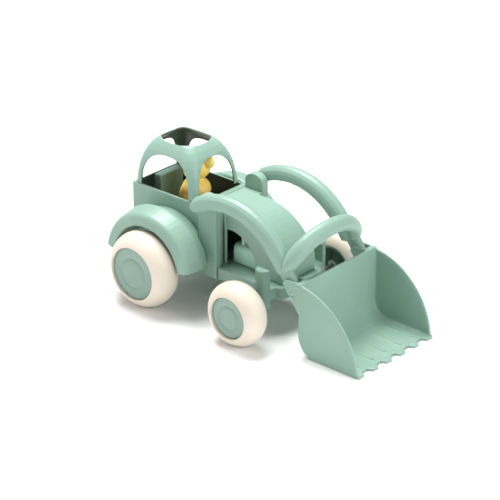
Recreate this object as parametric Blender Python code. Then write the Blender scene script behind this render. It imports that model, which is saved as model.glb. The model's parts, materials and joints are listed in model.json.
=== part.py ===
"""Wheeled toy tractor with a front loader, built as an assembly.

Metres, +Z up, +X forward towards the bucket, +Y the vehicle's left. Stations along X are
measured forward from the rear axle in millimetres, and the whole toy hangs from one empty
that centres it over the origin, with the wheels and the bucket standing on Z = 0.
"""
import math

import bmesh
import bpy
from mathutils import Matrix, Vector

MM = 0.001
GAP = 0.3                       # clearance kept between neighbouring solids

# wheels: tyre outside radius, tyre tube radius, tube centre from the middle plane, cap radius
WHEELBASE = 115.4
REAR_R, REAR_TUBE, REAR_Y, REAR_CAP = 36.2, 18.5, 69.3, 25.1
FRONT_R, FRONT_TUBE, FRONT_Y, FRONT_CAP = 30.0, 14.8, 71.7, 19.6
CAP_RECESS = 1.8                # cap face behind the widest part of the tyre
CAP_T = 2.4
AXLE_R = 2.0
CORE_WALL = 2.2
CORE_BOSS = 5.0

# body
WALL = 2.4
BODY_BOTTOM = 31.5
TUB_BACK, TUB_FRONT = -49.5, 35.3
TUB_HALF = 32.0
POST_LAP = 4.5                  # how far the loader post's inner face lies inside the tub's side
POST_IN = TUB_HALF - POST_LAP
RIM_Z = 96.5
TUB_FLOOR_Z = 62.0
COWL_EDGE = 29.4                # front edge of the cab opening
CHASSIS_TOP = 42.5
LEDGE_BACK = 58.0
LEDGE_HALF = 34.5
BUMPER_FRONT = 131.9
BUMPER_HALF = 29.7
BUMPER_CORNER = 10.0
HOOD_FRONT = 125.0
COWL_GAP, COWL_STEP, ENGINE_ROOM = 0.1, 4.9, 5.1
COWL_HALF = POST_IN - COWL_GAP
HOOD_HALF = COWL_HALF - COWL_STEP
HOOD_TOP = 96.3
HOOD_ARC_X, HOOD_ARC_R = 67.7, 62.3
WINDOW_BACK, WINDOW_R = 58.6, 29.2
WINDOW_ARC_X = 63.8
WINDOW_ARC_Z = 48.0

ENGINE_BACK, ENGINE_FRONT, ENGINE_TOP = 60.0, 91.0, 61.0
ENGINE_HALF = HOOD_HALF - WALL - ENGINE_ROOM

# upright posts that carry the loader
PIVOT_X, PIVOT_Z = 45.4, 105.0
POST_W, POST_T = 21.5, 8.5
POST_X = 46.4                   # middle of the post's width, a little ahead of the pivot
POST_SHOULDER_Z, POST_TOP_Z = 103.0, 111.6
AXLE_POST_R, AXLE_POST_IN = 7.5, 37.0
AXLE_POST_TOP, AXLE_POST_BOTTOM = 61.5, 23.5

# rear fenders, round the rear axle
FENDER_LIP_R, FENDER_SIDE_R, FENDER_CROWN_R = 40.0, 52.3, 55.2
FENDER_OUT, FENDER_IN = 68.0, 48.0
FENDER_T = 2.6
FENDER_END_Z = 45.0

# cab roof
ROOF_X = -10.2
ROOF_HALF_L, ROOF_HALF_W, ROOF_H = 37.0, 31.7, 49.0
ROOF_T = 2.2
ROOF_POWER = 2.65
ROOF_CORNER, ROOF_CORNER_GROWTH = 5.0, 12.0
ROOF_BOW, ROOF_LEAN = 0.3, 1.0
ARCH_POWER = 2.6
ROOF_HOLE_L, ROOF_HOLE_W = 21.6, 19.0
SIDE_WINDOW_HALF, FRONT_WINDOW_HALF, WINDOW_TOP = 29.4, 23.6, 33.0
SIDE_WINDOW_SHIFT = 0.9

# loader arms
ARM_REACH, ARM_ARC_Z, ARM_MID_R = 79.7, 43.9, 72.0
ARM_T = 13.0
ARM_SIDE_GAP, ARM_WIDTH = 0.6, 15.0
ARM_IN = POST_IN + POST_T + ARM_SIDE_GAP
ARM_OUT = ARM_IN + ARM_WIDTH
ARM_LEG_DEG = 52.0              # slope of the straight lower leg
STUB_WIDTH = 7.6
PIN_R = 3.0
HANDLE_R = 7.1
HANDLE_ROOT_X, HANDLE_ROOT_Z = 151.2, 79.0
HANDLE_FORWARD, HANDLE_UP = 14.4, 26.8
HANDLE_POWER = 1.88

# bucket
BUCKET_BACK = 169.0
BUCKET_HALF = 52.5
BUCKET_TOP = 69.0
BUCKET_T = 2.4
BUCKET_HEEL_R = 20.0
BUCKET_SIDE_X, BUCKET_SIDE_Z, BUCKET_SIDE_R = 162.4, -5.0, 73.5
TIP_X = 237.3
TOOTH_PITCH, TOOTH_LEN, TEETH = 19.0, 10.6, 6
TOOTH_ROOT, TOOTH_POINT = 16.0, 7.6
EAR_T = 2.3
HINGE_GAP = 1.1                 # between the round end of the arm and the scoop
HINGE_X = BUCKET_BACK - ARM_T / 2 - HINGE_GAP
HINGE_Z, HINGE_PIN_R = 57.0, 2.2
STUB_OUT = BUCKET_HALF - EAR_T - GAP
STUB_IN = STUB_OUT - STUB_WIDTH
ARM_ARC_X = HINGE_X - ARM_REACH
ARM_R = ARM_MID_R - ARM_T / 2

SEAT_BACK, SEAT_T, SEAT_HALF, SEAT_TOP = -38.0, 8.4, 15.0, 102.0

# driver figure
DRIVER_X, DRIVER_Y = -0.4, 0.0
DRIVER_HALF_W, DRIVER_HALF_D = 14.2, 13.1
DRIVER_SHOULDER_Z, DRIVER_HEAD_Z = 105.0, 116.4
DRIVER_HEAD = (16.4, 14.4, 13.4)
EAR_R, EAR_APART, EAR_UP = 5.5, 16.9, 7.4

BACK_X = -math.sqrt(FENDER_CROWN_R ** 2 - (FENDER_END_Z - REAR_R) ** 2)
MIDDLE_X = (BACK_X + TIP_X) / 2

GREEN = ("sage_plastic", (0.30, 0.49, 0.39), 0.42, 0.0)
DARK = ("shaded_plastic", (0.16, 0.29, 0.23), 0.5, 0.0)
CREAM = ("tyre", (0.82, 0.77, 0.69), 0.6, 0.0)
CAPS = ("hub_plastic", (0.30, 0.47, 0.38), 0.5, 0.0)
YELLOW = ("driver", (0.93, 0.52, 0.09), 0.45, 0.0)
STEEL = ("steel", (0.6, 0.6, 0.62), 0.3, 1.0)


# ---------------------------------------------------------------- helpers

def material(kind):
    """The Principled material of one finish, made once."""
    name, colour, roughness, metallic = kind
    made = bpy.data.materials.get(name)
    if made is None:
        made = bpy.data.materials.new(name)
        made.use_nodes = True
        shader = made.node_tree.nodes["Principled BSDF"]
        shader.inputs["Base Color"].default_value = (*colour, 1.0)
        shader.inputs["Roughness"].default_value = roughness
        shader.inputs["Metallic"].default_value = metallic
        made.diffuse_color = (*colour, 1.0)
    return made


def add(name, bm, kind, at=(0, 0, 0)):
    """An object from a bmesh whose points are in millimetres round its own origin."""
    bmesh.ops.remove_doubles(bm, verts=bm.verts, dist=1e-4)
    bmesh.ops.recalc_face_normals(bm, faces=bm.faces)
    bmesh.ops.scale(bm, vec=(MM, MM, MM), verts=bm.verts)
    mesh = bpy.data.meshes.new(name)
    bm.to_mesh(mesh)
    bm.free()
    mesh.materials.append(material(kind))
    mesh.shade_smooth()
    mesh.set_sharp_from_angle(angle=math.radians(32))
    made = bpy.data.objects.new(name, mesh)
    made.location = Vector(at) * MM
    made.parent = FRAME
    bpy.context.collection.objects.link(made)
    return made


def combine(target, others, operation):
    """Join or cut target with other objects, which are left as hidden guides."""
    for other in others:
        other.hide_render = True
        other.display_type = "WIRE"
        modifier = target.modifiers.new(other.name, "BOOLEAN")
        modifier.operation = operation
        modifier.object = other
        modifier.solver = "EXACT"


def rings(sections, closed=False):
    """A solid through rings of points that all have the same count, its ends capped."""
    bm = bmesh.new()
    loops = [[bm.verts.new(p) for p in section] for section in sections]
    pairs = list(zip(loops, loops[1:]))
    if closed:
        pairs.append((loops[-1], loops[0]))
    for low, high in pairs:
        for i in range(len(low)):
            j = (i + 1) % len(low)
            bm.faces.new((low[i], low[j], high[j], high[i]))
    if not closed:
        bm.faces.new(loops[0][::-1])
        bm.faces.new(loops[-1])
    return bm


def prism(outline, low, high, axis="Y"):
    """An outline in two coordinates, extruded along the third from low to high."""
    place = {
        "Y": lambda u, v, w: (u, w, v),
        "Z": lambda u, v, w: (u, v, w),
        "X": lambda u, v, w: (w, u, v),
    }[axis]
    return rings([[place(u, v, w) for u, v in outline] for w in (low, high)])


def box(x0, x1, y0, y1, z0, z1):
    return prism([(x0, y0), (x1, y0), (x1, y1), (x0, y1)], z0, z1, "Z")


def arc(cx, cz, radius, start, stop, steps):
    """Points on an arc between two angles in degrees, ends included."""
    return [
        (cx + radius * math.cos(a), cz + radius * math.sin(a))
        for a in (math.radians(start + (stop - start) * i / steps) for i in range(steps + 1))
    ]


def lathe(profile, steps):
    """A closed outline of (y, radius) points turned round the Y axis."""
    sections = []
    for i in range(steps):
        a = 2 * math.pi * i / steps
        sections.append([(r * math.cos(a), y, r * math.sin(a)) for y, r in profile])
    return rings(sections, closed=True)


def rod(radius, low, high, steps=16):
    """A solid cylinder along Y."""
    return prism(arc(0, 0, radius, 0, 360 * (steps - 1) / steps, steps - 1), low, high)


def cutter(name, bm, at=(0, 0, 0)):
    """A hidden tool for a Boolean."""
    return add("cut_" + name, bm, DARK, at)


def mirrored(outline):
    """The outline of one side's (y, radius) profile, seen from the other side."""
    return [(-y, r) for y, r in outline]


def side(profile, sign):
    return profile if sign > 0 else mirrored(profile)


# ---------------------------------------------------------------- wheels

def tyre_profile(radius, tube, centre_y, cap):
    """Fat round tyre: an arc over the crown, closed by the bore the rim sits in."""
    hub = radius - tube
    start = math.degrees(math.asin((cap - hub) / tube))
    return [(centre_y + y, hub + r) for y, r in arc(0, 0, tube, start, 180 - start, 12)]


def wheel(label, sign, station, radius, tube, centre_y, cap):
    """Tyre, rim core and hub cap on one end of an axle."""
    at = (station, 0, radius)
    profile = tyre_profile(radius, tube, centre_y, cap)
    widest = profile[0][0]
    add(f"tyre_{label}", lathe(side(profile, sign), 36), CREAM, at)
    face = widest - CAP_RECESS
    ring_r, bore = cap * 0.52, AXLE_R + GAP
    cap_out = [
        (face - CAP_T, 0.0), (face - CAP_T, cap - GAP), (face, cap - GAP), (face, ring_r + 1.4),
        (face + 0.7, ring_r + 0.8), (face + 0.7, ring_r - 0.8), (face, ring_r - 1.4), (face, 0.0),
    ]
    add(f"hub_cap_{label}", turned_cap(side(cap_out, sign), 36), CAPS, at)
    back = face - CAP_T - GAP
    inner = profile[-1][0] + 1.0
    core = [
        (inner, cap - GAP), (back, cap - GAP), (back, bore), (inner, bore), (inner, CORE_BOSS),
        (back - CORE_WALL, CORE_BOSS), (back - CORE_WALL, cap - GAP - CORE_WALL),
        (inner, cap - GAP - CORE_WALL),
    ]
    add(f"wheel_core_{label}", lathe(side(core, sign), 32), CAPS, at)
    return back - CORE_WALL


def turned_cap(profile, steps):
    """A disc turned round Y whose profile starts and ends on the axis."""
    bm = bmesh.new()
    first = bm.verts.new((0, profile[0][0], 0))
    last = bm.verts.new((0, profile[-1][0], 0))
    loops = []
    for i in range(steps):
        a = 2 * math.pi * i / steps
        loops.append([bm.verts.new((r * math.cos(a), y, r * math.sin(a))) for y, r in profile[1:-1]])
    for i in range(steps):
        here, after = loops[i], loops[(i + 1) % steps]
        bm.faces.new((first, here[0], after[0]))
        bm.faces.new((last, after[-1], here[-1]))
        for a, b, c, d in zip(here, here[1:], after[1:], after):
            bm.faces.new((a, b, c, d))
    return bm


def wheels():
    ends = {}
    for label, sign in (("left", 1), ("right", -1)):
        wheel(f"rear_{label}", sign, 0, REAR_R, REAR_TUBE, REAR_Y, REAR_CAP)
        wheel(f"front_{label}", sign, WHEELBASE, FRONT_R, FRONT_TUBE, FRONT_Y, FRONT_CAP)
    for name, station, radius, tube, y, cap in (
        ("rear_axle", 0, REAR_R, REAR_TUBE, REAR_Y, REAR_CAP),
        ("front_axle", WHEELBASE, FRONT_R, FRONT_TUBE, FRONT_Y, FRONT_CAP),
    ):
        widest = tyre_profile(radius, tube, y, cap)[0][0]
        ends[name] = widest - CAP_RECESS - CAP_T - 2 * GAP
        add(name, rod(AXLE_R, -ends[name], ends[name]), STEEL, (station, 0, radius))


def axle_bores(name):
    """Cutters for both axles, wide enough to let them turn."""
    return [
        cutter(f"{name}_rear_bore", rod(AXLE_R + GAP, -60, 60), (0, 0, REAR_R)),
        cutter(f"{name}_front_bore", rod(AXLE_R + GAP, -60, 60), (WHEELBASE, 0, FRONT_R)),
    ]


# ---------------------------------------------------------------- body

def chassis():
    """Tray under the toy: it carries the axles, the side ledges and the rounded bumper."""
    inner = TUB_HALF - WALL - GAP
    corner_x = BUMPER_FRONT - BUMPER_CORNER
    corner_y = BUMPER_HALF - BUMPER_CORNER
    post_back, post_front = WHEELBASE - AXLE_POST_R, WHEELBASE + AXLE_POST_R
    right = [
        (TUB_BACK + WALL + GAP, inner), (TUB_FRONT - WALL - GAP, inner),
        (TUB_FRONT - WALL - GAP, POST_IN - 2 * GAP), (LEDGE_BACK, POST_IN - 2 * GAP),
        (LEDGE_BACK, LEDGE_HALF), (post_back, LEDGE_HALF), (post_back, AXLE_POST_IN),
        (post_front, AXLE_POST_IN), (post_front, BUMPER_HALF),
    ]
    right += arc(corner_x, corner_y, BUMPER_CORNER, 90, 0, 6)
    outline = [(x, -y) for x, y in right] + [(x, y) for x, y in reversed(right)]
    made = add("chassis", prism(outline, BODY_BOTTOM, CHASSIS_TOP, "Z"), GREEN)
    floor = CHASSIS_TOP - WALL
    hollows = []
    for n, (x0, x1, half) in enumerate((
        (TUB_BACK + 2 * WALL + GAP, -AXLE_R - 3.5, inner - WALL),
        (AXLE_R + 3.5, TUB_FRONT - 2 * WALL, inner - WALL),
        (LEDGE_BACK - 14.0, post_back - WALL, POST_IN - 2 * GAP - WALL),
        (post_front + WALL, BUMPER_FRONT - 2 * WALL, BUMPER_HALF - BUMPER_CORNER),
    )):
        hollows.append(cutter(f"chassis_hollow_{n}", box(x0, x1, -half, half, 20, floor)))
    combine(made, hollows, "DIFFERENCE")
    combine(made, [axle_post(s) for s in (1, -1)], "UNION")
    combine(made, axle_bores("chassis"), "DIFFERENCE")
    combine(made, screw_holes("chassis"), "DIFFERENCE")
    return made


def axle_post(sign):
    """Half-round upright that holds one end of the front axle."""
    flat = AXLE_POST_IN - 1.0
    outline = [(WHEELBASE - AXLE_POST_R, flat)]
    outline += arc(WHEELBASE, AXLE_POST_IN, AXLE_POST_R, 180, 0, 12)
    outline += [(WHEELBASE + AXLE_POST_R, flat)]
    points = [(x, sign * y) for x, y in outline]
    return cutter(f"axle_post_{sign}", prism(points, AXLE_POST_BOTTOM, AXLE_POST_TOP, "Z"))


SCREW_SPOTS = [(-34.0, 17.0), (-34.0, -17.0), (50.0, 12.0), (50.0, -12.0)]
SCREW_HEAD_R, SCREW_SHANK_R = 3.2, 1.5


def screw_holes(name):
    made = []
    for n, (x, y) in enumerate(SCREW_SPOTS):
        bm = bmesh.new()
        bmesh.ops.create_cone(
            bm, cap_ends=True, segments=16, radius1=SCREW_SHANK_R + GAP,
            radius2=SCREW_SHANK_R + GAP, depth=30, matrix=Matrix.Translation((x, y, CHASSIS_TOP)),
        )
        made.append(cutter(f"{name}_screw_{n}", bm))
    return made


def screws():
    """Four pan-head screws that hold the chassis up into the body."""
    head_top = CHASSIS_TOP - WALL - GAP
    for n, (x, y) in enumerate(SCREW_SPOTS):
        shank, head = SCREW_SHANK_R, SCREW_HEAD_R
        profile = [
            (-2.2, 0.0), (-2.2, head - 0.8), (-1.2, head), (0.0, head), (0.0, shank), (9.0, shank),
            (10.0, 0.0),
        ]
        bm = turned_cap(profile, 14)
        bmesh.ops.rotate(bm, verts=bm.verts, matrix=Matrix.Rotation(math.radians(90), 3, "X"))
        add(f"screw_{n + 1}", bm, STEEL, (x, y, head_top))


def cab_tub():
    """Open box that the driver sits in, with a hollow skirt below its floor."""
    made = add("cab_tub", box(TUB_BACK, TUB_FRONT, -TUB_HALF, TUB_HALF, BODY_BOTTOM, RIM_Z), GREEN)
    inner = TUB_HALF - WALL
    cab = cutter("cab_room", box(TUB_BACK + WALL, COWL_EDGE, -inner, inner, TUB_FLOOR_Z, RIM_Z + 20))
    skirt_top = TUB_FLOOR_Z - WALL
    skirt = cutter("cab_skirt", box(TUB_BACK + WALL, TUB_FRONT - WALL, -inner, inner, 10, skirt_top))
    bore = cutter("tub_bore", rod(AXLE_R + GAP, -60, 60), (0, 0, REAR_R))
    tongue = POST_IN - GAP
    notch = cutter("tub_notch", box(TUB_FRONT - WALL - 1, TUB_FRONT + 5, -tongue, tongue,
                                    10, CHASSIS_TOP + GAP))
    combine(made, [cab, skirt, bore, notch], "DIFFERENCE")
    return made


def hood_outline(inset=0.0, base=0.0):
    """Side view of the hood: flat behind, a long arc over the engine, a short upright nose."""
    radius = HOOD_ARC_R - inset
    top = HOOD_TOP - inset
    arc_z = HOOD_TOP - HOOD_ARC_R
    front = HOOD_FRONT - inset
    stop = math.degrees(math.acos((front - HOOD_ARC_X) / radius))
    low = CHASSIS_TOP + GAP - base
    points = [(TUB_FRONT + GAP + inset, low), (TUB_FRONT + GAP + inset, top)]
    points += arc(HOOD_ARC_X, arc_z, radius, 90, stop, 12)
    points += [(front, low)]
    return points


def hood():
    """Engine cover: a curved shell with a quarter-round window in each side."""
    made = add("hood_shell", prism(hood_outline(), -HOOD_HALF, HOOD_HALF), GREEN)
    shoulder = box(TUB_FRONT + GAP, POST_X + POST_W / 2, -COWL_HALF, COWL_HALF,
                   CHASSIS_TOP + GAP, HOOD_TOP)
    combine(made, [cutter("hood_shoulder", shoulder)], "UNION")
    inner = HOOD_HALF - WALL
    hollow = cutter("hood_hollow", prism(hood_outline(WALL, 20.0), -inner, inner))
    window = [(WINDOW_BACK, CHASSIS_TOP - 5), (WINDOW_BACK, WINDOW_ARC_Z + WINDOW_R)]
    window += arc(WINDOW_ARC_X, WINDOW_ARC_Z, WINDOW_R, 88, 0, 10)
    window += [(WINDOW_ARC_X + WINDOW_R, CHASSIS_TOP - 5)]
    opening = cutter("hood_window", prism(window, -60, 60))
    combine(made, [hollow, opening], "DIFFERENCE")
    return made


def pivot_post(label, sign):
    """Tall side column with a round top that the loader turns on."""
    half = POST_W / 2
    shift = POST_X - PIVOT_X
    outline = [(shift - half, BODY_BOTTOM - PIVOT_Z), (shift + half, BODY_BOTTOM - PIVOT_Z)]
    shoulder = POST_SHOULDER_Z - PIVOT_Z
    rise = (POST_TOP_Z - POST_SHOULDER_Z) / half
    outline += [(shift + x, shoulder + z * rise) for x, z in arc(0, 0, half, 0, 180, 12)]
    low, high = sorted((sign * (POST_IN + GAP), sign * (POST_IN + POST_T)))
    made = add(f"pivot_post_{label}", prism(outline, low, high), GREEN, (PIVOT_X, 0, PIVOT_Z))
    low, high = sorted((sign * (POST_IN + 3.0), sign * (POST_IN + POST_T + 5)))
    combine(made, [cutter(f"post_{label}_hole", rod(PIN_R + GAP, low, high), (PIVOT_X, 0, PIVOT_Z))],
            "DIFFERENCE")


def fender_profile(inset=0.0):
    """Cross-section of the fender as (y, radius) from the lip over the crown to the body."""
    shoulder = 6.0
    out = FENDER_OUT - inset
    side_r = FENDER_SIDE_R - inset
    crown = FENDER_CROWN_R - inset
    points = [(out, FENDER_LIP_R)]
    points += [(y, r) for y, r in arc(out - shoulder, side_r - shoulder, shoulder, 0, 80, 5)]
    points += [(FENDER_IN + 3.0, crown - 0.6), (FENDER_IN, crown - 0.4)]
    return points


def fender(label, sign):
    """Mudguard: a half ring round the rear wheel, flat outside and crowned on top."""
    outer = fender_profile()
    wall = TUB_HALF + GAP
    outer += [(FENDER_IN - 1.5, FENDER_CROWN_R - 1.8), (FENDER_IN - 2.5, FENDER_CROWN_R - 6.0),
              (wall, FENDER_CROWN_R - 7.0)]
    inner = [(wall, FENDER_CROWN_R - 7.0 - FENDER_T), (FENDER_IN - 0.5, FENDER_CROWN_R - 6.0 - FENDER_T),
             (FENDER_OUT - FENDER_T - 5.0, FENDER_SIDE_R - 4.2),
             (FENDER_OUT - FENDER_T - 1.0, FENDER_SIDE_R - 7.5), (FENDER_OUT - FENDER_T, FENDER_LIP_R)]
    profile = side(outer + inner, sign)
    end = math.degrees(math.asin((FENDER_END_Z - REAR_R) / FENDER_CROWN_R))
    steps = 26
    sections = []
    for i in range(steps + 1):
        a = math.radians(end + (180 - 2 * end) * i / steps)
        sections.append([(r * math.cos(a), y, r * math.sin(a)) for y, r in profile])
    made = add(f"fender_{label}", rings(sections), GREEN, (0, 0, REAR_R))
    post = POST_IN + POST_T + GAP
    low, high = sorted((sign * TUB_HALF * 0.9, sign * post))
    combine(made, [cutter(f"fender_{label}_notch", box(TUB_FRONT, 65, low, high, 20, 110))],
            "DIFFERENCE")


# ---------------------------------------------------------------- cab

def roof_ring(height, inset):
    """One level of the roof: a rounded oblong that shrinks and leans back as it rises."""
    rise = ROOF_H - inset
    share = min(height / rise, 1.0)
    f = max(1 - share ** ROOF_POWER, 0.0) ** (1 / ROOF_POWER)
    half_l, half_w = (ROOF_HALF_L - inset) * f, (ROOF_HALF_W - inset) * f
    corner = (ROOF_CORNER - inset + ROOF_CORNER_GROWTH * share) * f
    points = []
    for turn, sx, sy in ((0, 1, 1), (90, -1, 1), (180, -1, -1), (270, 1, -1)):
        x, y = sx * (half_l - corner), sy * (half_w - corner)
        points += [(px, py) for px, py in arc(x, y, corner, turn, turn + 90, 5)]
        bow = ROOF_BOW * f
        middle = (0, sy * (half_w + bow)) if turn in (0, 180) else (sx * (half_l + bow), 0)
        points.append(middle)
    return [(x - ROOF_LEAN * share, y, height) for x, y in points]


def roof_levels(inset):
    rise = ROOF_H - inset
    return [rise * math.sin(math.radians(a)) for a in (0, 12, 24, 35, 45, 54, 62, 70, 77, 83)]


def arch(half, height, power, steps=18):
    """A squarish arch standing on a flat base a little below zero."""
    points = [(-half, -5.0)]
    for i in range(steps + 1):
        a = math.pi * i / steps
        c, s = math.cos(a), math.sin(a)
        points.append((-half * math.copysign(abs(c) ** (2 / power), c), height * s ** (2 / power)))
    return points + [(half, -5.0)]


def roof_dome():
    """Domed cab roof on four corner pillars, open at the top and on all four sides."""
    base = RIM_Z + GAP
    at = (ROOF_X, 0, base)
    made = add("cab_roof", rings([roof_ring(h, 0) for h in roof_levels(0)]), GREEN, at)
    floor = [(x, y, -5.0) for x, y, z in roof_ring(0, ROOF_T)]
    room = [floor] + [roof_ring(h, ROOF_T) for h in roof_levels(ROOF_T)]
    cuts = [cutter("roof_room", rings(room), at)]
    side_window = arch(SIDE_WINDOW_HALF, WINDOW_TOP, ARCH_POWER)
    front_window = arch(FRONT_WINDOW_HALF, WINDOW_TOP, ARCH_POWER)
    reach_y, reach_x = ROOF_HALF_W + 8, ROOF_HALF_L + 8
    cuts.append(cutter("roof_side_window", prism(side_window, -reach_y, reach_y),
                       (ROOF_X + SIDE_WINDOW_SHIFT, 0, base)))
    cuts.append(cutter("roof_front_window", prism(front_window, -reach_x, reach_x, "X"), at))
    hole = []
    for i in range(28):
        a = 2 * math.pi * i / 28
        c, s = math.cos(a), math.sin(a)
        k = (abs(c) ** 3 + abs(s) ** 3) ** (-1 / 3)
        hole.append((ROOF_HOLE_L * k * c - ROOF_LEAN, ROOF_HOLE_W * k * s))
    cuts.append(cutter("roof_hole", prism(hole, 36, ROOF_H + 10, "Z"), at))
    combine(made, cuts, "DIFFERENCE")


def seat():
    """Driver's seat: a tall backrest block and a low cushion in front of it."""
    floor = TUB_FLOOR_Z + GAP
    back, front = SEAT_BACK, SEAT_BACK + SEAT_T
    outline = [(back, floor), (front + 14, floor), (front + 14, floor + 9), (front, floor + 11),
               (front, SEAT_TOP - 0.8), (front - 0.8, SEAT_TOP), (back + 0.8, SEAT_TOP),
               (back, SEAT_TOP - 0.8)]
    add("seat", prism(outline, -SEAT_HALF, SEAT_HALF), GREEN)


def ball(centre, size, across=14, around=18):
    bm = bmesh.new()
    bmesh.ops.create_uvsphere(bm, u_segments=around, v_segments=across, radius=1.0)
    bmesh.ops.scale(bm, vec=size, verts=bm.verts)
    bmesh.ops.translate(bm, vec=centre, verts=bm.verts)
    return bm


def driver():
    """Simple round-eared play figure in one piece, turned to look out of the side."""
    base = TUB_FLOOR_Z + GAP
    shoulder = DRIVER_SHOULDER_Z
    sections = []
    for z, f in ((base, 0.86), (base + 3, 0.93), (base + 12, 0.97), (shoulder - 16, 1.0),
                 (shoulder - 7, 0.96), (shoulder - 2, 0.8), (shoulder + 3, 0.5)):
        sections.append([
            (DRIVER_HALF_W * f * math.cos(a), DRIVER_HALF_D * f * math.sin(a), z)
            for a in (2 * math.pi * i / 24 for i in range(24))
        ])
    at = (DRIVER_X, DRIVER_Y, 0)
    made = add("driver", rings(sections), YELLOW, at)
    wide, deep, tall = DRIVER_HEAD
    parts = [cutter("driver_head", ball((0, 0, DRIVER_HEAD_Z), (wide, deep, tall)), at)]
    for sign in (1, -1):
        ear = (sign * EAR_APART, 0.0, DRIVER_HEAD_Z + EAR_UP)
        parts.append(cutter(f"driver_ear_{sign}", ball(ear, (EAR_R, 4.0, EAR_R), 10, 14), at))
    combine(made, parts, "UNION")


def engine():
    """Engine block behind the side windows, rounded on top, with four upright pipes."""
    base, top, half, bend = CHASSIS_TOP + GAP, ENGINE_TOP, ENGINE_HALF, 5.0
    outline = [(-half, base), (half, base)]
    outline += arc(half - bend, top - bend, bend, 0, 90, 4) + arc(bend - half, top - bend, bend, 90, 180, 4)
    made = add("engine_block", prism(outline, ENGINE_BACK, ENGINE_FRONT, "X"), DARK)
    pipes = []
    for n, (x, y) in enumerate(((68, -9), (78, -9), (68, 9), (78, 9))):
        bm = bmesh.new()
        bmesh.ops.create_cone(bm, cap_ends=True, segments=12, radius1=2.6, radius2=2.6, depth=20,
                              matrix=Matrix.Translation((x, y, top)))
        pipes.append(cutter(f"engine_pipe_{n}", bm))
    combine(made, pipes, "UNION")


# ---------------------------------------------------------------- loader

def arm_path(grow=0.0):
    """Stations along the arm: middle point, slope, half depth and the two side planes."""
    half = ARM_T / 2
    mid = ARM_R + half
    start = math.degrees(math.acos((PIVOT_X - ARM_ARC_X) / mid))
    stop = 90 - ARM_LEG_DEG
    path = []
    for share in (1.0, 0.92, 0.72, 0.4):
        x, z = on_arc(start, mid)
        slope = math.radians(start - 90)
        back = half * share
        depth = math.sqrt(max(1 - share * share, 0.0))
        path.append((x - back * math.cos(slope), z - back * math.sin(slope), slope,
                     max(half * depth, 1.2) + grow, ARM_IN - grow, ARM_OUT + grow))
    steps = 16
    for i in range(steps + 1):
        a = start + (stop - start) * i / steps
        x, z = on_arc(a, mid)
        path.append((x, z, math.radians(a - 90), half + grow, ARM_IN - grow, ARM_OUT + grow))
    slope = -math.radians(ARM_LEG_DEG)
    x, z = on_arc(stop, mid)
    reach = (HINGE_X - x) * math.cos(slope) + (HINGE_Z - z) * math.sin(slope)
    legs = ((reach * 0.42, ARM_IN, ARM_OUT), (reach * 0.50, STUB_IN, STUB_OUT), (reach, STUB_IN, STUB_OUT))
    for along, inner, outer in legs:
        path.append((x + along * math.cos(slope), z + along * math.sin(slope), slope, half + grow,
                     inner - grow, outer + grow))
    for share in (0.4, 0.72, 0.92, 1.0):
        depth = math.sqrt(max(1 - share * share, 0.0))
        along = reach + (half - 0.3) * share
        path.append((x + along * math.cos(slope), z + along * math.sin(slope), slope,
                     max(half * depth, 1.2) + grow, STUB_IN - grow, STUB_OUT + grow))
    return path


def on_arc(angle, radius):
    a = math.radians(angle)
    return ARM_ARC_X + radius * math.cos(a), ARM_ARC_Z + radius * math.sin(a)


def arm_section(x, z, slope, half, inner, outer):
    """Flat underneath and full round on top, square to the path."""
    nx, nz = -math.sin(slope), math.cos(slope)
    middle, width = (inner + outer) / 2, (outer - inner) / 2
    round_h = min(width, half * 1.1)
    points = [(inner, -half), (outer, -half)]
    for i in range(7):
        a = math.pi * i / 6
        points.append((middle + width * math.cos(a), half - round_h + round_h * math.sin(a)))
    return [(x + nx * h, y, z + nz * h) for y, h in points]


def arm_solid(sign, grow=0.0):
    sections = []
    for x, z, slope, half, inner, outer in arm_path(grow):
        section = arm_section(x - PIVOT_X, z - PIVOT_Z, slope, half, inner, outer)
        sections.append([(px, sign * py, pz) for px, py, pz in section])
    return rings(sections)


def loader_arm(label, sign):
    """Curved lift arm: a round end on the post, a long arc and a straight leg to the bucket."""
    at = (PIVOT_X, 0, PIVOT_Z)
    made = add(f"loader_arm_{label}", arm_solid(sign), GREEN, at)
    low, high = sorted((sign * (ARM_IN - 5), sign * (ARM_IN + 8)))
    pivot = cutter(f"arm_{label}_pivot_hole", rod(PIN_R + GAP, low, high), at)
    low, high = sorted((sign * 30, sign * 70))
    hinge = cutter(f"arm_{label}_hinge_hole", rod(HINGE_PIN_R + GAP, low, high), (HINGE_X, 0, HINGE_Z))
    combine(made, [pivot, hinge], "DIFFERENCE")
    low, high = sorted((sign * (POST_IN + 3.0 + GAP), sign * (ARM_IN + 8 - GAP)))
    add(f"pivot_pin_{label}", rod(PIN_R, low, high), GREEN, at)


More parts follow.
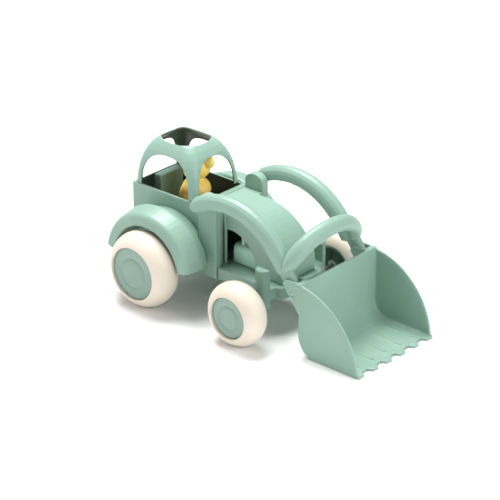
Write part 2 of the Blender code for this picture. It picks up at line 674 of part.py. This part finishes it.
def handle():
    """Round carrying bar that bows up and forward between the two arms."""
    root = Vector((HANDLE_ROOT_X - PIVOT_X, 0, HANDLE_ROOT_Z - PIVOT_Z))
    rise = Vector((HANDLE_FORWARD, 0, HANDLE_UP))
    across = rise.cross(Vector((0, 1, 0))).normalized()
    half = (ARM_IN + ARM_OUT) / 2 + 0.9
    steps = 26
    centres = []
    for i in range(steps + 1):
        a = math.pi * i / steps
        c, s = math.cos(a), math.sin(a)
        k = (abs(c) ** HANDLE_POWER + abs(s) ** HANDLE_POWER) ** (-1 / HANDLE_POWER)
        centres.append(root + rise * (k * s - 0.12) + Vector((0, half * k * c, 0)))
    sections = []
    for i, here in enumerate(centres):
        along = (centres[min(i + 1, steps)] - centres[max(i - 1, 0)]).normalized()
        if i in (0, steps):
            along = rise.normalized() * (1 if i == 0 else -1)
        up = across.cross(along).normalized()
        sections.append([
            here + across * (HANDLE_R * math.cos(b)) + up * (HANDLE_R * math.sin(b))
            for b in (2 * math.pi * j / 14 for j in range(14))
        ])
    at = (PIVOT_X, 0, PIVOT_Z)
    made = add("handle_bar", rings(sections), GREEN, at)
    combine(made, [cutter(f"handle_seat_{s}", arm_solid(s, GAP), at) for s in (1, -1)], "DIFFERENCE")


# ---------------------------------------------------------------- bucket

def bucket_profile(inset=0.0):
    """Side view of the scoop: upright back, round heel and flat floor, open in front."""
    r = BUCKET_HEEL_R - inset
    heel_x = BUCKET_BACK + BUCKET_HEEL_R
    return arc(heel_x, BUCKET_HEEL_R, r, 180, 270, 7)


def bucket_side():
    """Outline of one side wall of the scoop."""
    points = [(BUCKET_BACK, BUCKET_TOP)] + bucket_profile()
    points += [(TIP_X - TOOTH_LEN, 0.0)]
    top = math.degrees(math.acos((BUCKET_BACK + 3.0 - BUCKET_SIDE_X) / BUCKET_SIDE_R))
    low = math.degrees(math.asin((3.0 - BUCKET_SIDE_Z) / BUCKET_SIDE_R))
    points += arc(BUCKET_SIDE_X, BUCKET_SIDE_Z, BUCKET_SIDE_R, low, top, 12)
    points += [(BUCKET_BACK + 2.4, BUCKET_TOP)]
    return points


def bucket():
    """Loader bucket: scoop, two side walls, six teeth and two pairs of hinge ears."""
    at = (HINGE_X, 0, HINGE_Z)
    shift = Matrix.Translation((-HINGE_X, 0, -HINGE_Z))

    def placed(bm):
        bmesh.ops.transform(bm, matrix=shift, verts=bm.verts)
        return bm

    made = add("bucket", placed(prism(bucket_side(), -BUCKET_HALF, BUCKET_HALF)), GREEN, at)
    hollow = [(BUCKET_BACK + BUCKET_T, BUCKET_TOP + 20)] + bucket_profile(BUCKET_T)
    hollow += [(TIP_X + 20, BUCKET_T), (TIP_X + 20, BUCKET_TOP + 20)]
    inside = BUCKET_HALF - BUCKET_T
    room = cutter("bucket_room", placed(prism(hollow, -inside, inside)), at)
    combine(made, [room], "DIFFERENCE")
    teeth = []
    for n in range(TEETH):
        y = (n - (TEETH - 1) / 2) * TOOTH_PITCH
        root, point = TOOTH_ROOT / 2, TOOTH_POINT / 2
        left, right = max(y - root, -BUCKET_HALF), min(y + root, BUCKET_HALF)
        tip_l, tip_r = max(y - point, -BUCKET_HALF), min(y + point, BUCKET_HALF)
        if n == 0:
            left = tip_l = -BUCKET_HALF
        if n == TEETH - 1:
            right = tip_r = BUCKET_HALF
        outline = [(TIP_X - TOOTH_LEN - 2, left), (TIP_X - TOOTH_LEN, left), (TIP_X, tip_l),
                   (TIP_X, tip_r), (TIP_X - TOOTH_LEN, right), (TIP_X - TOOTH_LEN - 2, right)]
        teeth.append(cutter(f"tooth_{n}", placed(prism(outline, 0.0, BUCKET_T, "Z")), at))
    combine(made, teeth, "UNION")
    ears = []
    for sign in (1, -1):
        for name, near in (("outer", BUCKET_HALF - EAR_T), ("inner", STUB_IN - GAP - EAR_T)):
            low, high = sorted((sign * near, sign * (near + EAR_T)))
            ears.append(cutter(f"ear_{name}_{sign}", placed(prism(ear_outline(), low, high)), at))
        low, high = sorted((sign * (STUB_IN - GAP - EAR_T), sign * BUCKET_HALF))
        flange = box(BUCKET_BACK - 3.0, BUCKET_BACK + 1.0, low, high, BUCKET_TOP - 2.2, BUCKET_TOP)
        ears.append(cutter(f"ear_flange_{sign}", placed(flange), at))
    combine(made, ears, "UNION")
    combine(made, [cutter("bucket_hinge_hole", rod(HINGE_PIN_R + GAP, -80, 80), at)], "DIFFERENCE")
    for label, sign in (("left", 1), ("right", -1)):
        low, high = sorted((sign * (STUB_IN - EAR_T), sign * (BUCKET_HALF - 0.4)))
        add(f"hinge_pin_{label}", rod(HINGE_PIN_R, low, high), GREEN, at)


def ear_outline():
    """Three-cornered ear behind the scoop, its back edge in line with the arm's leg."""
    slope = math.tan(math.radians(ARM_LEG_DEG))
    foot_z = 38.5
    back = BUCKET_BACK + 1.0
    corner_z = BUCKET_TOP - 6.0
    corner_x = back - (corner_z - foot_z) / slope
    return [(back, foot_z), (back, BUCKET_TOP), (corner_x + 4.0, BUCKET_TOP),
            (corner_x + 0.8, BUCKET_TOP - 2.2), (corner_x, corner_z)]


# ---------------------------------------------------------------- assembly

for old in list(bpy.data.objects):
    bpy.data.objects.remove(old, do_unlink=True)

FRAME = bpy.data.objects.new("toy_frame", None)
FRAME.location = (-MIDDLE_X * MM, 0, 0)
bpy.context.collection.objects.link(FRAME)

chassis()
screws()
cab_tub()
hood()
engine()
seat()
driver()
roof_dome()
for SIDE, SIGN in (("left", 1), ("right", -1)):
    pivot_post(SIDE, SIGN)
    fender(SIDE, SIGN)
    loader_arm(SIDE, SIGN)
handle()
bucket()
wheels()
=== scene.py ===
# %% [markdown]
# # A play tractor with a front loader
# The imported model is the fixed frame. Every piece below is built round it, in metres, in its
# own place, and rides on one of its moving bodies. The frame is never moved.

import math

import bmesh
import bpy
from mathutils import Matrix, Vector
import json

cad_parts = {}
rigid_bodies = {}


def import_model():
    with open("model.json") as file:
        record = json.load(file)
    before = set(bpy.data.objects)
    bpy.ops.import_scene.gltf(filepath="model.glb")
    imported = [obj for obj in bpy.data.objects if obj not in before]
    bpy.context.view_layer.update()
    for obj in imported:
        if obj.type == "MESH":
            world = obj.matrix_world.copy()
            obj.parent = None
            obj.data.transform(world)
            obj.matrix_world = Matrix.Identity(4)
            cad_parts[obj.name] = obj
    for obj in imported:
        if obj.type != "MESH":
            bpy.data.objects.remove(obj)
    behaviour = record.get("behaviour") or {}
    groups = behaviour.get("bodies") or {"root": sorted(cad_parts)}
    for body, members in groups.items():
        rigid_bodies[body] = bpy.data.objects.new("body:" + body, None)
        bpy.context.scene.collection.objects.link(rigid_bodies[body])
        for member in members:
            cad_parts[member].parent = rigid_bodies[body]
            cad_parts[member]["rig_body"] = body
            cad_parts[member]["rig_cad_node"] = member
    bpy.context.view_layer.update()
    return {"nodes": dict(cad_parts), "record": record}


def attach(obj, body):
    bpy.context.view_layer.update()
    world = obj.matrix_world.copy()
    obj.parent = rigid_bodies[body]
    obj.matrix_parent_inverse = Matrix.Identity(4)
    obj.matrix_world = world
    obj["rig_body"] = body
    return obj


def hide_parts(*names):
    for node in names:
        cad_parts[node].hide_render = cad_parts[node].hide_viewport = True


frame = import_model()
nodes = frame["nodes"]
MM = 0.001
SIDES = {"left": 1, "right": -1}
MIDDLE_STATION = 91.403  # middle of the overall length, in mm forward of the rear axle
MERGE = 1e-6  # corners closer than this, in metres, are one corner


def at_station(station):
    """Row X in metres of a place measured in millimetres forward of the rear axle."""
    return (station - MIDDLE_STATION) * MM


bodies = frame["record"]["behaviour"]["bodies"]
body_of_node = {node: body for body, members in bodies.items() for node in members}
slot_of_node = {row["node"]: row["material_slot"] for row in frame["record"]["subparts"]}

# %% [markdown]
# ## View and light
# A long lens from the front right corner keeps the parallel edges nearly parallel, as in a
# catalogue picture. A broad soft box overhead gives the round plastic its wide highlights,
# and a pale floor throws light back up on the undersides.

# %% Camera
AZIMUTH, ELEVATION, DISTANCE = math.radians(41.6), math.radians(25.37), 2.0448
LOOK_AT = Vector((-0.02478, 0.0, 0.05104))
LENS, SENSOR, FAR_LIMIT = 162.1, 36.0, 50.0  # mm, mm, metres


def make_camera():
    """A long lens, aimed a little behind the middle of the toy."""
    back = Vector((
        math.sin(AZIMUTH) * math.cos(ELEVATION),
        -math.cos(AZIMUTH) * math.cos(ELEVATION),
        math.sin(ELEVATION),
    ))
    bpy.ops.object.camera_add(location=LOOK_AT + back * DISTANCE)
    camera = bpy.context.object
    camera.rotation_euler = back.to_track_quat("Z", "Y").to_euler()
    camera.data.lens = LENS
    camera.data.sensor_width = SENSOR
    camera.data.clip_end = FAR_LIMIT
    bpy.context.scene.camera = camera
    return camera


camera = make_camera()
print("camera at", tuple(round(v, 3) for v in camera.location))

# %% Floor and lights
AIM_HEIGHT, SKY, FLOOR_SIZE = 0.05, 0.19, 12.0


def soft_box(name, place, size, power):
    """A square white area light aimed at the toy: size in metres, power in watts."""
    bpy.ops.object.light_add(type="AREA", location=place)
    lamp = bpy.context.object
    lamp.name = name
    lamp.data.shape = "SQUARE"
    lamp.data.size = size
    lamp.data.energy = power
    aim = Vector(place) - Vector((0.0, 0.0, AIM_HEIGHT))
    lamp.rotation_euler = aim.to_track_quat("Z", "Y").to_euler()
    return lamp


soft_box("overhead_box", (-0.42, 0.22, 1.35), 0.8, 33.0)
soft_box("front_box", (1.7, -0.1, 0.8), 1.4, 24.0)
soft_box("side_box", (-1.0, -1.4, 0.8), 1.2, 9.0)

world = bpy.data.worlds.new("studio")
world.use_nodes = True
sky = world.node_tree.nodes["Background"]
sky.inputs["Color"].default_value = (1.0, 1.0, 1.0, 1.0)
sky.inputs["Strength"].default_value = SKY
bpy.context.scene.world = world
bpy.context.scene.view_settings.view_transform = "Standard"

bpy.ops.object.select_all(action="DESELECT")
bpy.ops.mesh.primitive_plane_add(size=FLOOR_SIZE, location=(0.0, 0.0, 0.0))
floor = bpy.context.object
floor.name = "floor"
print("three soft boxes, a pale sky and a floor of", FLOOR_SIZE, "m")

# %% [markdown]
# ## Finishes
# Moulded plastic is never one flat value. The colour drifts slightly over centimetres, a fine
# grain from the mould breaks up the shine, and edges that hands rub go a little paler and
# smoother. Each finish is built from the same few noises, read in Object coordinates so that
# the pattern stays on its piece. The small class below lets the sums be written as sums.

# %% Shader helpers
class Field:
    """An output socket that can be used in a Python expression."""

    def __init__(self, tree, socket):
        self.tree, self.socket = tree, socket

    def sum_with(self, operation, first, second):
        node = self.tree.nodes.new("ShaderNodeMath")
        node.operation = operation
        plug(self.tree, node.inputs[0], first)
        plug(self.tree, node.inputs[1], second)
        return Field(self.tree, node.outputs[0])

    def __add__(self, other):
        return self.sum_with("ADD", self, other)

    def __sub__(self, other):
        return self.sum_with("SUBTRACT", self, other)

    def __mul__(self, other):
        return self.sum_with("MULTIPLY", self, other)


def plug(tree, socket, value):
    """Link a field to a socket, or set the socket to a plain value."""
    if isinstance(value, Field):
        tree.links.new(value.socket, socket)
    else:
        socket.default_value = value


FACING_LOW, FACING_HIGH = 0.32, 0.60  # where a face starts, and ends, turning to the core


class Finish:
    """One material and the nodes that feed its Principled shader."""

    def __init__(self, name):
        self.material = bpy.data.materials.new(name)
        self.material.use_nodes = True
        self.tree = self.material.node_tree
        self.shader = self.tree.nodes["Principled BSDF"]

    def node(self, kind, settings=None, values=None, out=0):
        """Add a node, set its properties and inputs, and give back one output."""
        made = self.tree.nodes.new(kind)
        for key, value in (settings or {}).items():
            setattr(made, key, value)
        for key, value in (values or {}).items():
            plug(self.tree, made.inputs[key], value)
        return Field(self.tree, made.outputs[out])

    def noise(self, scale, detail=2.0):
        """Object-space noise; the scale is in features per metre."""
        place = self.node("ShaderNodeTexCoord", out="Object")
        return self.node("ShaderNodeTexNoise", None,
                         {"Vector": place, "Scale": scale, "Detail": detail}, "Fac")

    def band(self, value, low, high):
        """0 below low and 1 above high."""
        return self.node("ShaderNodeMapRange", {"interpolation_type": "SMOOTHSTEP"},
                         {"Value": value, "From Min": low, "From Max": high})

    def blend(self, amount, first, second):
        """Mix two colours; each is a field or an (r, g, b) value."""
        made = self.tree.nodes.new("ShaderNodeMix")
        made.data_type = "RGBA"
        plug(self.tree, made.inputs[0], amount)
        for socket, colour in ((made.inputs[6], first), (made.inputs[7], second)):
            plug(self.tree, socket, colour if isinstance(colour, Field) else (*colour, 1.0))
        return Field(self.tree, made.outputs[2])

    def facing(self, core):
        """1 on faces that look towards a point, 0 on faces that look away from it."""
        place = self.node("ShaderNodeTexCoord", out="Object")
        normal = self.node("ShaderNodeTexCoord", out="Normal")
        to_core = self.node("ShaderNodeVectorMath", {"operation": "SUBTRACT"}, {0: core, 1: place})
        ahead = self.node("ShaderNodeVectorMath", {"operation": "NORMALIZE"}, {0: to_core})
        return self.band(self.node("ShaderNodeVectorMath", {"operation": "DOT_PRODUCT"},
                                   {0: ahead, 1: normal}, "Value"),
                         FACING_LOW, FACING_HIGH)

    def set(self, **values):
        for key, value in values.items():
            plug(self.tree, self.shader.inputs[key.replace("_", " ")], value)


def shade(colour, factor):
    return tuple(channel * factor for channel in colour)


def moulded(name, colour, roughness, grain=0.10, drift=0.05, worn=0.10, core=None):
    """Satin moulded plastic; faces turned towards the point `core` take a painted shade colour."""
    finish = Finish(name)
    cloud = finish.noise(14.0, 3.0)
    fine = finish.noise(1500.0, 2.0)
    marks = finish.noise(260.0, 4.0)
    darker, lighter = shade(colour, 1 - drift), shade(colour, 1 + drift)
    body = finish.blend(finish.band(cloud, 0.3, 0.7), darker, lighter)
    bend = finish.node("ShaderNodeNewGeometry", out="Pointiness")
    rubbed = finish.band(bend, 0.52, 0.60) * (marks * 0.6 + 0.5)
    pale = tuple(channel + (1.0 - channel) * 0.35 for channel in colour)
    surface = finish.blend(rubbed * worn * 3.0, body, pale)
    # Painted shade: faces that look into the hollow of a box are darkened to stand for the shade
    # inside it.
    if core is not None:
        surface = finish.blend(finish.facing(core), surface, PAINTED_SHADE_INSIDE)
    finish.set(Base_Color=surface)
    finish.set(Roughness=(cloud - 0.5) * 0.10 + (marks - 0.5) * 0.08 - rubbed * 0.06 + roughness)
    bump = finish.node("ShaderNodeBump", None,
                       {"Strength": grain, "Distance": 0.0004, "Height": fine * 0.7 + marks * 0.3},
                       "Normal")
    finish.set(Normal=bump)
    finish.set(IOR=1.46)
    return finish.material


# %% [markdown]
# ## The colours
# Colours are linear red, green and blue. The cab, the roof and the hood are open boxes, and
# their insides are painted much darker than their outsides, as painted shade. Painting inside faces
# one by one would break when a shape changes, so each box has a point in its hollow, and whichever
# faces look towards that point take the painted shade colour.

# %% Materials of the toy
SAGE = (0.262, 0.412, 0.338)
# Painted shade colour for the insides of the cab, the roof and the hood.
PAINTED_SHADE_INSIDE = (0.046, 0.062, 0.044)
CAB_CORE = (at_station(-8.0), 0.0, 0.098)
HOOD_CORE = (at_station(80.0), 0.0, 0.058)
finishes = {
    "sage_plastic": moulded("sage_plastic", SAGE, 0.40),
    # Painted light: this lighter copy of the sage plastic goes on the engine block in the hollow of
    # the hood, standing for the light that falls on it there.
    "shaded_plastic": moulded("shaded_plastic", shade(SAGE, 2.1), 0.46),
    "hub_plastic": moulded("hub_plastic", (0.230, 0.345, 0.285), 0.46),
    "tyre": moulded("tyre", (0.72, 0.645, 0.545), 0.50, grain=0.06, drift=0.02, worn=0.04),
    "driver": moulded("driver", (1.0, 0.70, 0.16), 0.38, grain=0.06, drift=0.03),
    "driver_face": moulded("driver_face", (0.05, 0.035, 0.03), 0.35, grain=0.05),
    "steel": moulded("steel", (0.22, 0.24, 0.23), 0.40, grain=0.04),
}
CAB_FINISH = moulded("sage_cab", SAGE, 0.40, core=CAB_CORE)
HOOD_FINISH = moulded("sage_hood", SAGE, 0.40, core=HOOD_CORE)
finishes["steel"].node_tree.nodes["Principled BSDF"].inputs["Metallic"].default_value = 1.0

floor_finish = Finish("studio_floor")
floor_finish.set(Base_Color=floor_finish.blend(
    floor_finish.noise(2.0), (0.93, 0.93, 0.93), (0.95, 0.95, 0.95)))
floor_finish.set(Roughness=0.85)
floor.data.materials.append(floor_finish.material)
for name, node in nodes.items():
    node.data.materials.clear()
    node.data.materials.append(finishes[slot_of_node[name]])
print("finishes:", ", ".join(finishes))

# %% [markdown]
# ## Soft-edged copies of the body parts
# A moulded part has no sharp edge: the tool is polished to a radius of about a millimetre.
# A voxel remesh turns the plain solid into one even skin, and a little smoothing rounds every
# edge alike, inside corners too, which a bevel would miss.

# %% Copy and soften
def only(piece):
    """Make one object the selected and active one."""
    bpy.ops.object.select_all(action="DESELECT")
    piece.select_set(True)
    bpy.context.view_layer.objects.active = piece


def apply_all(piece):
    only(piece)
    for modifier in list(piece.modifiers):
        bpy.ops.object.modifier_apply(modifier=modifier.name)


def settle(piece, body, slot, *replaced, finish=None):
    """Give a finished piece its finish and its body, and hide the nodes that it stands for."""
    piece.data.materials.clear()
    piece.data.materials.append(finish or finishes[slot])
    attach(piece, body)
    if replaced:
        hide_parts(*replaced)


def tidy_origin(piece):
    """Origin at the world origin, with the move and turn written into the mesh."""
    only(piece)
    bpy.ops.object.transform_apply(location=True, rotation=True, scale=True)


def add_skin(piece, voxel):
    """Queue a remesh into one even skin of small squares, voxel millimetres wide."""
    remesh = piece.modifiers.new("skin", "REMESH")
    remesh.mode = "VOXEL"
    remesh.voxel_size = voxel * MM


def add_smoothing(piece, rounds, group=""):
    """Queue rounds of smoothing, of the named vertex group or of the whole piece."""
    smooth = piece.modifiers.new("soften", "SMOOTH")
    smooth.factor, smooth.iterations, smooth.vertex_group = 0.5, rounds, group


def add_thinning(piece, keep):
    """Queue a cut in the number of faces to the share that is kept."""
    piece.modifiers.new("thin", "DECIMATE").ratio = keep


def moulded_skin(piece, voxel, rounds, keep=0.6):
    """One even skin with soft edges."""
    add_skin(piece, voxel)
    add_smoothing(piece, rounds)
    add_thinning(piece, keep)
    apply_all(piece)
    bpy.ops.object.shade_smooth()


def merged_copy(node):
    """A loose copy of a CAD node with its split corners merged."""
    piece = nodes[node].copy()
    piece.data = nodes[node].data.copy()
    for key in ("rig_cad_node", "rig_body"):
        del piece[key]
    piece.parent = None
    piece.name = node + "_moulded"
    bpy.context.collection.objects.link(piece)
    only(piece)
    bpy.ops.object.mode_set(mode="EDIT")
    bpy.ops.mesh.select_all(action="SELECT")
    bpy.ops.mesh.remove_doubles(threshold=MERGE)
    bpy.ops.object.mode_set(mode="OBJECT")
    return piece


def soft_copy(node, voxel, rounds, finish=None):
    """A copy of a CAD node with every edge softened; more rounds make it softer."""
    piece = merged_copy(node)
    moulded_skin(piece, voxel, rounds)
    settle(piece, body_of_node[node], slot_of_node[node], node, finish=finish)
    print(f"{piece.name}: {len(piece.data.polygons)} faces")
    return piece


for node, voxel, rounds, finish in (
    ("cab_tub", 0.8, 3, CAB_FINISH), ("hood_shell", 0.8, 3, HOOD_FINISH), ("chassis", 0.8, 3, None),
    ("cab_roof", 0.5, 8, CAB_FINISH), ("seat", 0.7, 4, None), ("engine_block", 0.6, 4, None),
    ("handle_bar", 0.6, 6, None),
):
    soft_copy(node, voxel, rounds, finish)
for side in SIDES:
    soft_copy(f"pivot_post_{side}", 0.6, 4)
    soft_copy(f"fender_{side}", 0.7, 6)
    soft_copy(f"loader_arm_{side}", 0.6, 4)

# %% [markdown]
# ## Lean of the handle
# The handle's crown leans back a little from its feet. A lattice could bend it, but one lean
# that grows with height needs only a share per corner: none at the feet, all at the crown.

# %% Lean the handle back
HANDLE_FOOT, HANDLE_CROWN = 84.0 * MM, 104.0 * MM
LEAN_BACK, LEAN_UP = 3.2, 1.0  # mm at the crown

handle = bpy.data.objects["handle_bar_moulded"]
for vert in handle.data.vertices:
    share = min(max((vert.co.z - HANDLE_FOOT) / (HANDLE_CROWN - HANDLE_FOOT), 0.0), 1.0)
    vert.co.x -= LEAN_BACK * MM * share
    vert.co.z += LEAN_UP * MM * share
print("handle crown leans back", LEAN_BACK, "mm")

# %% [markdown]
# ## Tyres
# A balloon tyre is one round tube. It could be a torus primitive, but a torus has no bead where
# it meets the hub. Here a circle is cut off level with the hub, its outer end is turned inwards
# as a rounded bead, and the open section is then spun about the axle.

# %% Spin the tyres
AXLES = {  # station of the axle, tyre radius, tube radius, middle of the tube, hub radius
    "rear": (0.0, 36.2, 18.5, 69.3, 25.1),
    "front": (115.4, 30.0, 14.8, 71.7, 19.6),
}
BEAD, BEAD_ROUND = 3.2, 0.7  # width of the bead and the radius of its edge, in mm
NEAR = 1e-5


def picked(piece, test):
    """Select the vertices that pass a test on their place, in edit mode."""
    bpy.ops.mesh.select_all(action="DESELECT")
    mesh = bmesh.from_edit_mesh(piece.data)
    for vert in mesh.verts:
        vert.select = test(vert.co)
    mesh.select_flush(True)
    bmesh.update_edit_mesh(piece.data)


def tyre(end, side, sign):
    """One balloon tyre, spun about its axle."""
    station, radius, tube, middle, hub = AXLES[end]
    x, axle = at_station(station), radius * MM
    bpy.ops.object.select_all(action="DESELECT")
    bpy.ops.mesh.primitive_circle_add(
        vertices=72, radius=tube * MM, rotation=(0.0, math.pi / 2, 0.0),
        location=(x, sign * middle * MM, axle + (radius - tube) * MM))
    piece = bpy.context.object
    piece.name = f"tyre_skin_{end}_{side}"
    tidy_origin(piece)
    bpy.ops.object.mode_set(mode="EDIT")
    bpy.ops.mesh.select_all(action="SELECT")
    level = axle + hub * MM
    bpy.ops.mesh.bisect(plane_co=(x, 0.0, level), plane_no=(0.0, 0.0, 1.0), clear_inner=True)
    verts = bmesh.from_edit_mesh(piece.data).verts
    edge = max(abs(v.co.y) for v in verts if v.co.z < level + NEAR)

    def outer_end(co):
        return co.z < level + NEAR and abs(co.y) > edge - NEAR

    picked(piece, outer_end)
    inwards = (0.0, -sign * BEAD * MM, 0.0)
    bpy.ops.mesh.extrude_region_move(TRANSFORM_OT_translate={"value": inwards})
    picked(piece, outer_end)
    bpy.ops.mesh.bevel(offset=BEAD_ROUND * MM, segments=4, affect="VERTICES")
    bpy.ops.mesh.select_all(action="SELECT")
    bpy.ops.mesh.spin(steps=112, angle=2 * math.pi, center=(x, 0.0, axle), axis=(0.0, 1.0, 0.0))
    bpy.ops.mesh.select_all(action="SELECT")
    bpy.ops.mesh.remove_doubles(threshold=MERGE)
    bpy.ops.mesh.normals_make_consistent(inside=False)
    bpy.ops.object.mode_set(mode="OBJECT")
    only(piece)
    bpy.ops.object.shade_smooth()
    return piece


# %% [markdown]
# ## Hub caps
# Each cap is a shallow dish pressed into the tyre. A flat disc is raised and inset again and
# again, each time by a small step, which gives the raised rim, the ring and the slight dome.

# %% Press the hub caps
CAP_STEPS = (  # share of the radius left after each inset, height of that ring in millimetres
    (0.985, 0.55), (0.95, 0.75), (0.90, 0.80), (0.62, 1.15), (0.595, 0.75), (0.565, 0.75),
    (0.54, 1.15), (0.36, 1.30), (0.18, 1.38),
)
CAP_GAP, CAP_RECESS, CAP_DEPTH = 0.15, 1.8, 1.5  # mm


def hub_cap(end, side, sign):
    """One hub cap; its base lies a little behind the widest part of the tyre."""
    station, radius, tube, middle, hub = AXLES[end]
    x, axle = at_station(station), radius * MM
    widest = middle + math.sqrt(tube ** 2 - (hub - radius + tube) ** 2)
    across, base = (hub - CAP_GAP) * MM, (widest - CAP_RECESS - CAP_DEPTH) * MM
    bpy.ops.object.select_all(action="DESELECT")
    bpy.ops.mesh.primitive_circle_add(
        vertices=96, radius=across, fill_type="NGON", location=(x, sign * base, axle),
        rotation=(-sign * math.pi / 2, 0.0, 0.0))
    piece = bpy.context.object
    piece.name = f"hub_cap_{end}_{side}_pressed"
    tidy_origin(piece)
    bpy.ops.object.mode_set(mode="EDIT")
    bpy.ops.mesh.select_all(action="SELECT")
    left, height = 1.0, 0.0
    for share, level in CAP_STEPS:
        bpy.ops.mesh.inset(thickness=(left - share) * across)
        bpy.ops.transform.translate(value=(0.0, sign * (level - height) * MM, 0.0))
        left, height = share, level
    bpy.ops.object.mode_set(mode="OBJECT")
    only(piece)
    bpy.ops.object.shade_smooth_by_angle(angle=math.radians(50))
    return piece


# %% [markdown]
# ## Four wheels
# Both axles turn as one body each, so a tyre and its cap ride on the body of their axle.

# %% Fit the tyres and caps
for end in AXLES:
    for side, sign in SIDES.items():
        body = end + "_wheels"
        skin = tyre(end, side, sign)
        settle(skin, body, "tyre", f"tyre_{end}_{side}")
        cap = hub_cap(end, side, sign)
        settle(cap, body, "hub_plastic", f"hub_cap_{end}_{side}")
        print(skin.name, len(skin.data.polygons), cap.name, len(cap.data.polygons))

# %% [markdown]
# ## Bucket
# The scoop is one moulding: thin walls, large soft corners inside, and a rib on the floor
# behind each gap between the teeth. The ribs are blocks with a tapered tail, joined to the
# scoop before the skin is made, so that they melt into the floor as they would in a mould.
# The faces in the inner corners are then smoothed much further than the rest, which leaves
# the outside crisp.

# %% Mould the bucket
BUCKET_BACK, BUCKET_IN, BUCKET_WALL = 169.0, 50.1, 2.4
TOOTH_PITCH = 19.0
GAPS = [(n - 2) * TOOTH_PITCH for n in range(5)]
EDGE = 0.4  # mm let in beyond each inner wall


def block(name, low, high):
    """A cube stretched between two corners given as station, y and z in millimetres."""
    a = Vector((at_station(low[0]), low[1] * MM, low[2] * MM))
    b = Vector((at_station(high[0]), high[1] * MM, high[2] * MM))
    bpy.ops.object.select_all(action="DESELECT")
    bpy.ops.mesh.primitive_cube_add(size=1.0, location=(a + b) / 2)
    piece = bpy.context.object
    piece.name = name
    piece.scale = b - a
    tidy_origin(piece)
    return piece


def floor_rib(y):
    """A low rib that sinks into the floor at its tail."""
    rib = block("floor_rib", (184.0, y - 1.0, 1.6), (226.6, y + 1.0, 3.9))
    bpy.ops.object.mode_set(mode="EDIT")
    picked(rib, lambda co: co.x < at_station(190.0) and co.z > 2.0 * MM)
    bpy.ops.transform.translate(value=(0.0, 0.0, -1.6 * MM))
    bpy.ops.object.mode_set(mode="OBJECT")
    return rib


def join(first, others):
    """Merge the other objects into the first one."""
    only(first)
    for other in others:
        other.select_set(True)
    bpy.ops.object.join()
    return first


bucket = merged_copy("bucket")
ribs = [floor_rib(y) for y in GAPS]
bpy.ops.object.select_all(action="DESELECT")
bpy.ops.mesh.primitive_uv_sphere_add(segments=24, ring_count=12, radius=1.5 * MM,
                                     location=(at_station(171.0), -9.0 * MM, 42.0 * MM))
gate_mark = bpy.context.object
tidy_origin(gate_mark)
join(bucket, ribs + [gate_mark])
add_skin(bucket, 0.55)
apply_all(bucket)


def in_soft_corner(co):
    """True close to the inner back and side walls, short of the front edge and the rim."""
    station, out = co.x / MM + MIDDLE_STATION, abs(co.y)
    behind = station > BUCKET_BACK + BUCKET_WALL - EDGE
    between = out < (BUCKET_IN + EDGE) * MM
    near_wall = min(station - BUCKET_BACK - BUCKET_WALL, BUCKET_IN - out / MM) < 9.0
    return behind and between and near_wall and station < 226.0 and 2.0 * MM < co.z < 66.0 * MM


inner = bucket.vertex_groups.new(name="inner")
corners = [vert.index for vert in bucket.data.vertices if in_soft_corner(vert.co)]
inner.add(corners, 1.0, "REPLACE")
add_smoothing(bucket, 130, "inner")
add_smoothing(bucket, 3)
add_thinning(bucket, 0.45)
apply_all(bucket)
bucket.vertex_groups.clear()
bpy.ops.object.shade_smooth()
settle(bucket, "bucket", "sage_plastic", "bucket")
print(bucket.name, len(bucket.data.polygons), "faces")

# %% [markdown]
# ## Driver
# The play figure is a plain round-eared animal in one colour. Stretched spheres stand for
# body, head, ears, muzzle, arms and feet; one skin over all of them makes a single soft
# figure. The face is two dots and a nose, like no particular character.

# %% Model the figure
def blob(place, size, tilt=0.0):
    """A stretched sphere; place is station, y and z in millimetres, size the half widths."""
    x, y, z = place
    bpy.ops.object.select_all(action="DESELECT")
    bpy.ops.mesh.primitive_uv_sphere_add(
        segments=40, ring_count=24, radius=1.0,
        location=(at_station(x), y * MM, z * MM), rotation=(0.0, tilt, 0.0))
    piece = bpy.context.object
    piece.scale = [value * MM for value in size]
    tidy_origin(piece)
    return piece


HEAD = 1.6  # station of the middle of the head

figure = blob((0.6, 0.0, 82.0), (13.8, 12.8, 20.0))  # trunk
parts = [
    blob((0.2, 0.0, 71.5), (13.4, 12.6, 9.0)),  # seat of the trunk
    blob((HEAD, 0.0, 116.4), (13.6, 12.6, 13.2)),  # head
    blob((HEAD, -11.4, 112.4), (5.2, 3.2, 4.4)),  # muzzle
    blob((1.2, 0.0, 94.0), (14.2, 12.6, 11.0)),  # chest
    blob((-13.6, 0.4, 124.2), (6.0, 3.8, 6.0)),  # rear ear
    blob((16.8, 0.4, 123.8), (5.9, 3.6, 6.0)),  # front ear
]
for across in (-1, 1):  # an arm and a foot each
    parts.append(blob((0.4 + across * 7.6, -8.8, 91.0), (3.4, 3.8, 8.4), -across * 0.3))
    parts.append(blob((across * 7.0, -10.0, 67.5), (5.2, 4.6, 4.6)))
join(figure, parts)
figure.name = "driver_figure"
moulded_skin(figure, 0.5, 8, 0.5)
settle(figure, "body", "driver", "driver")

face = [blob((HEAD + across * 4.2, -11.5, 118.4), (1.0, 0.9, 1.2)) for across in (-1, 1)]
face.append(blob((HEAD, -14.3, 113.8), (1.5, 1.0, 1.1)))
join(face[0], face[1:])
face[0].name = "driver_face"
bpy.ops.object.shade_smooth()
settle(face[0], "body", "driver_face")
print(figure.name, len(figure.data.polygons), "faces")

# %% [markdown]
# ## The end

# %% The end
import json
